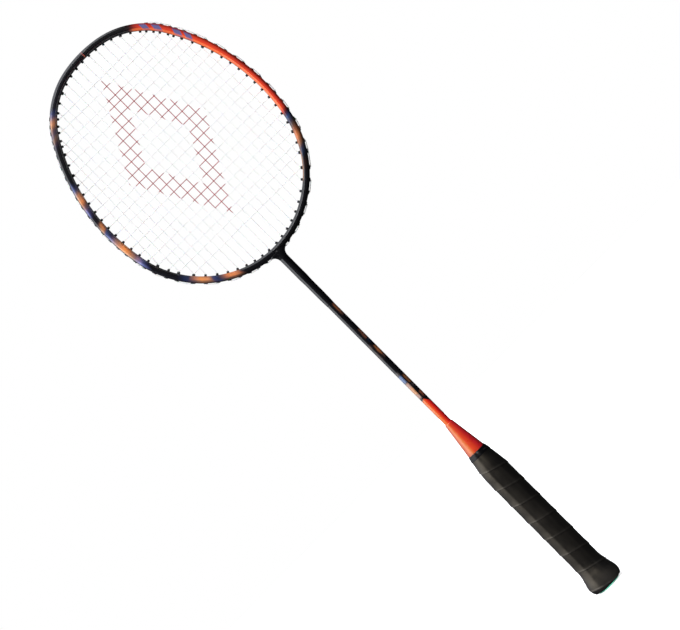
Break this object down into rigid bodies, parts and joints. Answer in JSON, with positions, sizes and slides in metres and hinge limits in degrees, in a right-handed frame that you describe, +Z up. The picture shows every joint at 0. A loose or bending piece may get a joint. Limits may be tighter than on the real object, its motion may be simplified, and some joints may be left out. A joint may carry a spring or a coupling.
{
  "type": "badminton racket",
  "caption": "Badminton racket with an oval strung head, a slim round shaft, a cone cap and a long wrapped octagonal handle with a flared butt.",
  "frame": {"origin": "centre of the flat butt end face, on the shaft's axis", "axes": "+Z up the shaft to the head, +X to the right seen from the front, +Y to the back; the front of the string bed faces -Y"},
  "size_m": [0.2034, 0.0318, 0.675],
  "materials": {
    "frame_paint": "gloss",
    "insert_metal": "satin",
    "shaft_paint": "gloss",
    "foam": "matte",
    "cone_plastic": "gloss",
    "core_wood": "matte",
    "butt_plastic": "satin",
    "badge_plastic": "gloss",
    "fastener_steel": "satin",
    "adhesive_tape": "matte",
    "grip_strip": "matte",
    "finishing_tape": "gloss",
    "string": "satin",
    "grommet_plastic": "satin"
  },
  "bodies": {
    "root": {"head_frame": "frame_paint", "t_joint_insert": "insert_metal", "shaft": "shaft_paint", "shaft_end_plug": "foam", "cone_cap": "cone_plastic", "handle_core": "core_wood", "butt_cap": "butt_plastic", "butt_badge": "badge_plastic", "butt_cap_staples": "fastener_steel", "grip_start_tack": "fastener_steel", "grip_adhesive_tape": "adhesive_tape", "grip_wrap": "grip_strip", "grip_finishing_tape": "finishing_tape", "main_string": "string", "cross_string": "string", "top_main_grommets": "grommet_plastic", "tie_off_grommets": "grommet_plastic", "top_shared_grommets": "grommet_plastic", "left_side_grommets": "grommet_plastic", "right_side_grommets": "grommet_plastic", "throat_grommets": "grommet_plastic", "neck_grommets": "grommet_plastic", "throat_shared_grommets": "grommet_plastic"}
  },
  "joints": []
}
